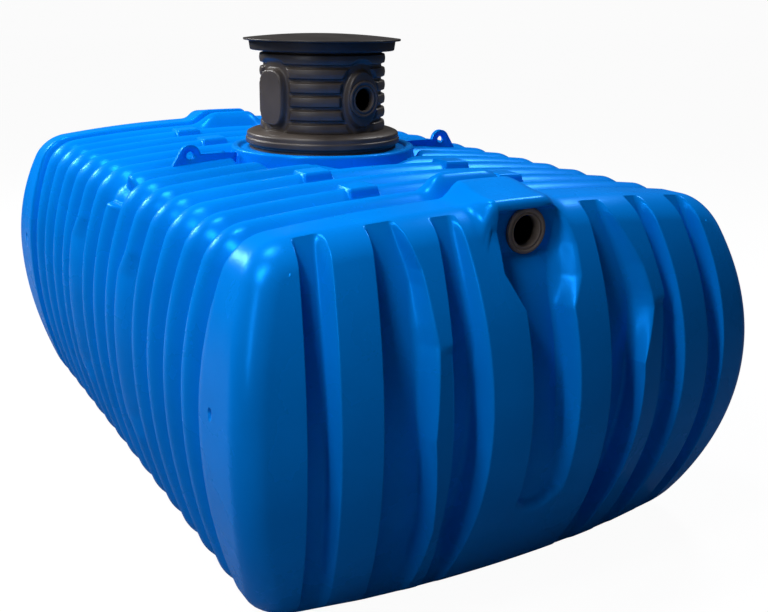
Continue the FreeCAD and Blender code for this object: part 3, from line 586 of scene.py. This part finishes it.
def past_pad(angle, turn):
    """Angle round the shaft from the middle of the pad that stands at the given turn, between -pi and pi."""
    return (angle - SHAFT_TURN - turn + np.pi) % (2 * np.pi) - np.pi


def pad_cover(off, z, power):
    """How far a point lies inside a pad's outline, in metres: an ellipse for the power 2, squarer above."""
    across = np.abs(PAD_FACE * np.tan(np.clip(off, -PAD_REACH, PAD_REACH))) / PAD_HALF_WIDTH
    up = np.abs(z - PAD_Z) / PAD_HALF_HEIGHT
    return PAD_HALF_WIDTH * (1 - (across ** power + up ** power) ** (1 / power))


def riser_radius(angle, z):
    """Radius of the riser: waves along the height, which fade near a pad, and flat pads with bevelled
    borders."""
    wave = 0.5 + 0.5 * np.cos((z - TOP_RIB_Z) * 2 * np.pi / RISER_PITCH)
    radius = RISER_R - CREST_FALL * (1 - wave) - RISER_DEPTH * slope(*GROOVE_WAVE, wave, GROOVE_SOFT)
    for turn, power in ((0, OVAL), (-np.pi / 2, SQUARISH)):
        off = past_pad(angle, turn)
        inside = np.where(np.abs(off) < PAD_REACH, pad_cover(off, z, power), -1)
        radius = radius + (RISER_R - RISER_DEPTH - radius) * slope(*RIB_TIPS, inside)
        flat = PAD_FACE / np.cos(np.clip(off, -PAD_REACH, PAD_REACH))
        radius = radius + (np.maximum(flat, radius) - radius) * slope(*PAD_BORDER, inside, BORDER_SOFT)
    return radius


riser_angle = np.linspace(0, 2 * np.pi, 361)[:, None]
riser_z = np.linspace(RISER_Z, RISER_TOP, 161)
r = riser_radius(riser_angle, riser_z)
riser_points = np.stack([r * np.cos(riser_angle), r * np.sin(riser_angle), riser_z + 0 * r], -1)
riser_faces = quads(*riser_points.shape[:2])
off = past_pad(riser_angle, 0)
aside = PAD_FACE * np.tan(np.clip(off, -PAD_REACH, PAD_REACH))
in_hole = (np.hypot(aside, riser_z - PAD_Z) < SIDE_HOLE_R) & (np.abs(off) < PAD_REACH)
riser_faces = riser_faces[~in_hole.ravel()[riser_faces].all(axis=1)]
moulding("riser_tube", riser_points.reshape(-1, 3), riser_faces, shaft_skin, "shaft",
         "riser_front", "riser_right", "riser_rear", "riser_left")

# Seal in the oval pad: a black rubber ring with a stepped flange, pushed into the pad's hole, for a cable
# duct or an overflow.
SIDE_SEAL_R, SIDE_PIPE_R, SIDE_NECK_R = 0.080, 0.050, 0.0615
side_loop = rounded([(SIDE_PIPE_R, -0.025), (SIDE_PIPE_R, 0.006), (SIDE_PIPE_R + 0.007, 0.010),
                     (SIDE_PIPE_R + 0.014, 0.005), (SIDE_PIPE_R + 0.020, 0.010), (SIDE_SEAL_R, 0.010),
                     (SIDE_SEAL_R, -0.002), (SIDE_NECK_R, -0.002), (SIDE_NECK_R, -0.025),
                     (SIDE_PIPE_R, -0.025)],
                    [0.004, 0.004, 0.003, 0.003, 0.004, 0.002, 0.002, 0.002])
side_points, side_faces = turned_ring(side_loop, 80)
side_points = np.stack([side_points[:, 2] + PAD_FACE, side_points[:, 0], side_points[:, 1] + PAD_Z], -1)
side_points = side_points @ np.array(Matrix.Rotation(SHAFT_TURN, 3, "Z")).T
moulding("riser_seal_ring", side_points, side_faces, gasket_rubber, "shaft_seal", "riser_pipe_seal")

# Cover frame: a shallow pan of black moulded plastic that sits on top of the riser, with a rim that leans out
# a little and carries the cover.
COVER_Z, PAN = 1.957, 0.009
cover_skin = plastic("cover_skin", (0.020, 0.017, 0.016), (0.030, 0.026, 0.024), roughness=0.45, cloud=12.0,
                     grain=420, depth=0.0005)
frame_loop = rounded([(BORE_R, RISER_TOP), (0.332, RISER_TOP), (0.338, COVER_Z), (0.329, COVER_Z),
                      (0.323, RISER_TOP + PAN), (BORE_R, RISER_TOP + PAN), (BORE_R, RISER_TOP)],
                     [0.006, 0.002, 0.002, 0.004, 0.002])
moulding("cover_frame_ring", *turned_ring(frame_loop, 160), cover_skin, "cover", "cover_frame")

# Cover: a domed lid of black moulded plastic with a thin rim. It lies loose on the frame and lifts off.
# Its underside lies flat on the frame's rim and rises inside it as a shallow cone.
COVER_R, COVER_RIM, COVER_DOME, COVER_SEAT_R = 0.362, 0.008, 0.022, 0.320
lid_r = np.linspace(0, COVER_R, 60)
lid = np.stack([lid_r, COVER_Z + COVER_RIM + COVER_DOME * (1 - (lid_r / COVER_R) ** 2)], 1)
lid_edge = rounded([lid[-1], (COVER_R, COVER_Z), (COVER_SEAT_R, COVER_Z), (0.0, COVER_Z + COVER_DOME)],
                   [0.004, 0.004])
lid_loop = np.concatenate([lid[:-1], lid_edge])
moulding("cover_lid", *turned_ring(lid_loop[::-1], 160), cover_skin, "cover", "cover")

# Floor, lamps and camera. The floor is plain, pale and matt, the lamps are soft boxes round the tank,
# and the picture is taken from the front left corner.
FLOOR_HALF = 60
LAMP_TARGET = np.array((0.3, 0, 0.8))
CAMERA_PLACE = (4.255046, -2.138399, 2.123247)


def floor_finish():
    """Pale matt floor. The camera sees it mixed with plain white, so that only soft shadows are left."""
    finish = bpy.data.materials.new("pale_floor")
    finish.use_nodes = True
    nodes, links = finish.node_tree.nodes, finish.node_tree.links
    nodes["Principled BSDF"].inputs["Base Color"].default_value = (0.24, 0.24, 0.25, 1)
    nodes["Principled BSDF"].inputs["Roughness"].default_value = 0.9
    white = nodes.new("ShaderNodeEmission")
    white.inputs["Strength"].default_value = 1.2
    mix = nodes.new("ShaderNodeMixShader")
    path = nodes.new("ShaderNodeLightPath")
    share = nodes.new("ShaderNodeMath")
    share.operation = "MULTIPLY"
    share.inputs[1].default_value = 0.80
    links.new(path.outputs["Is Camera Ray"], share.inputs[0])
    links.new(share.outputs[0], mix.inputs[0])
    links.new(nodes["Principled BSDF"].outputs[0], mix.inputs[1])
    links.new(white.outputs[0], mix.inputs[2])
    links.new(mix.outputs[0], nodes["Material Output"].inputs["Surface"])
    return finish


floor_mesh = bpy.data.meshes.new("floor")
floor_mesh.from_pydata([(-FLOOR_HALF, -FLOOR_HALF, 0), (FLOOR_HALF, -FLOOR_HALF, 0),
                        (FLOOR_HALF, FLOOR_HALF, 0), (-FLOOR_HALF, FLOOR_HALF, 0)], [], [(0, 1, 2, 3)])
floor_mesh.materials.append(floor_finish())
floor = bpy.data.objects.new("floor", floor_mesh)
bpy.context.scene.collection.objects.link(floor)


def stood(right, up, back, place):
    """Matrix that stands a lamp or a camera at its place, from the directions of its own X, Y and Z axes."""
    return Matrix(np.vstack([np.stack([right, up, back, place], 1), (0, 0, 0, 1)]).tolist())


def lamp(name, place, width, height, power):
    """Soft lamp with a flat oblong face, upright, that points from its place to the lamps' one target."""
    light = bpy.data.lights.new(name, "AREA")
    light.shape = "RECTANGLE"
    light.size, light.size_y, light.energy = width, height, power
    holder = bpy.data.objects.new(name, light)
    back = (place - LAMP_TARGET) / np.linalg.norm(place - LAMP_TARGET)
    right = np.cross((0, 0, 1), back)
    right = right / np.linalg.norm(right)
    holder.matrix_world = stood(right, np.cross(back, right), back, place)
    bpy.context.scene.collection.objects.link(holder)


lamp("key_lamp", (-3.5, -4.5, 5.5), 1.2, 1.2, 120)
lamp("rear_lamp", (-5.3, -3.4, 4.5), 1.2, 1.2, 300)
lamp("top_lamp", (-0.6, -1.6, 8.0), 1.2, 1.2, 215)
lamp("front_lamp", (2.2, -4.1, 6.8), 1.2, 1.2, 190)
lamp("side_lamp", (3.5, -6.0, 4.0), 0.3, 4.0, 75)
lamp("right_lamp", (-0.8, 4.5, 6.8), 1.4, 1.4, 220)

world = bpy.data.worlds.new("white_room")
world.use_nodes = True
room, wires = world.node_tree.nodes, world.node_tree.links
room["Background"].inputs["Color"].default_value = (0.9, 0.95, 1.0, 1)
room["Background"].inputs["Strength"].default_value = 0.05
backdrop = room.new("ShaderNodeBackground")
backdrop.inputs["Color"].default_value = (0.965, 0.965, 0.965, 1)
ray, blend = room.new("ShaderNodeLightPath"), room.new("ShaderNodeMixShader")
wires.new(ray.outputs["Is Camera Ray"], blend.inputs[0])
wires.new(room["Background"].outputs[0], blend.inputs[1])
wires.new(backdrop.outputs[0], blend.inputs[2])
wires.new(blend.outputs[0], room["World Output"].inputs["Surface"])
bpy.context.scene.world = world
bpy.context.scene.view_settings.view_transform = "Standard"

turn, dip, roll = np.radians([59.70177, 16.88697, 0.756274])
ahead = np.array([-np.sin(turn) * np.cos(dip), np.cos(turn) * np.cos(dip), -np.sin(dip)])
level = np.array([np.cos(turn), np.sin(turn), 0])
raised = np.cross(level, ahead)
across = level * np.cos(roll) + raised * np.sin(roll)
upwards = raised * np.cos(roll) - level * np.sin(roll)
lens = bpy.data.cameras.new("camera")
lens.lens, lens.sensor_width = 46.783, 36
camera = bpy.data.objects.new("camera", lens)
camera.matrix_world = stood(across, upwards, -ahead, CAMERA_PLACE)
bpy.context.scene.collection.objects.link(camera)
bpy.context.scene.camera = camera
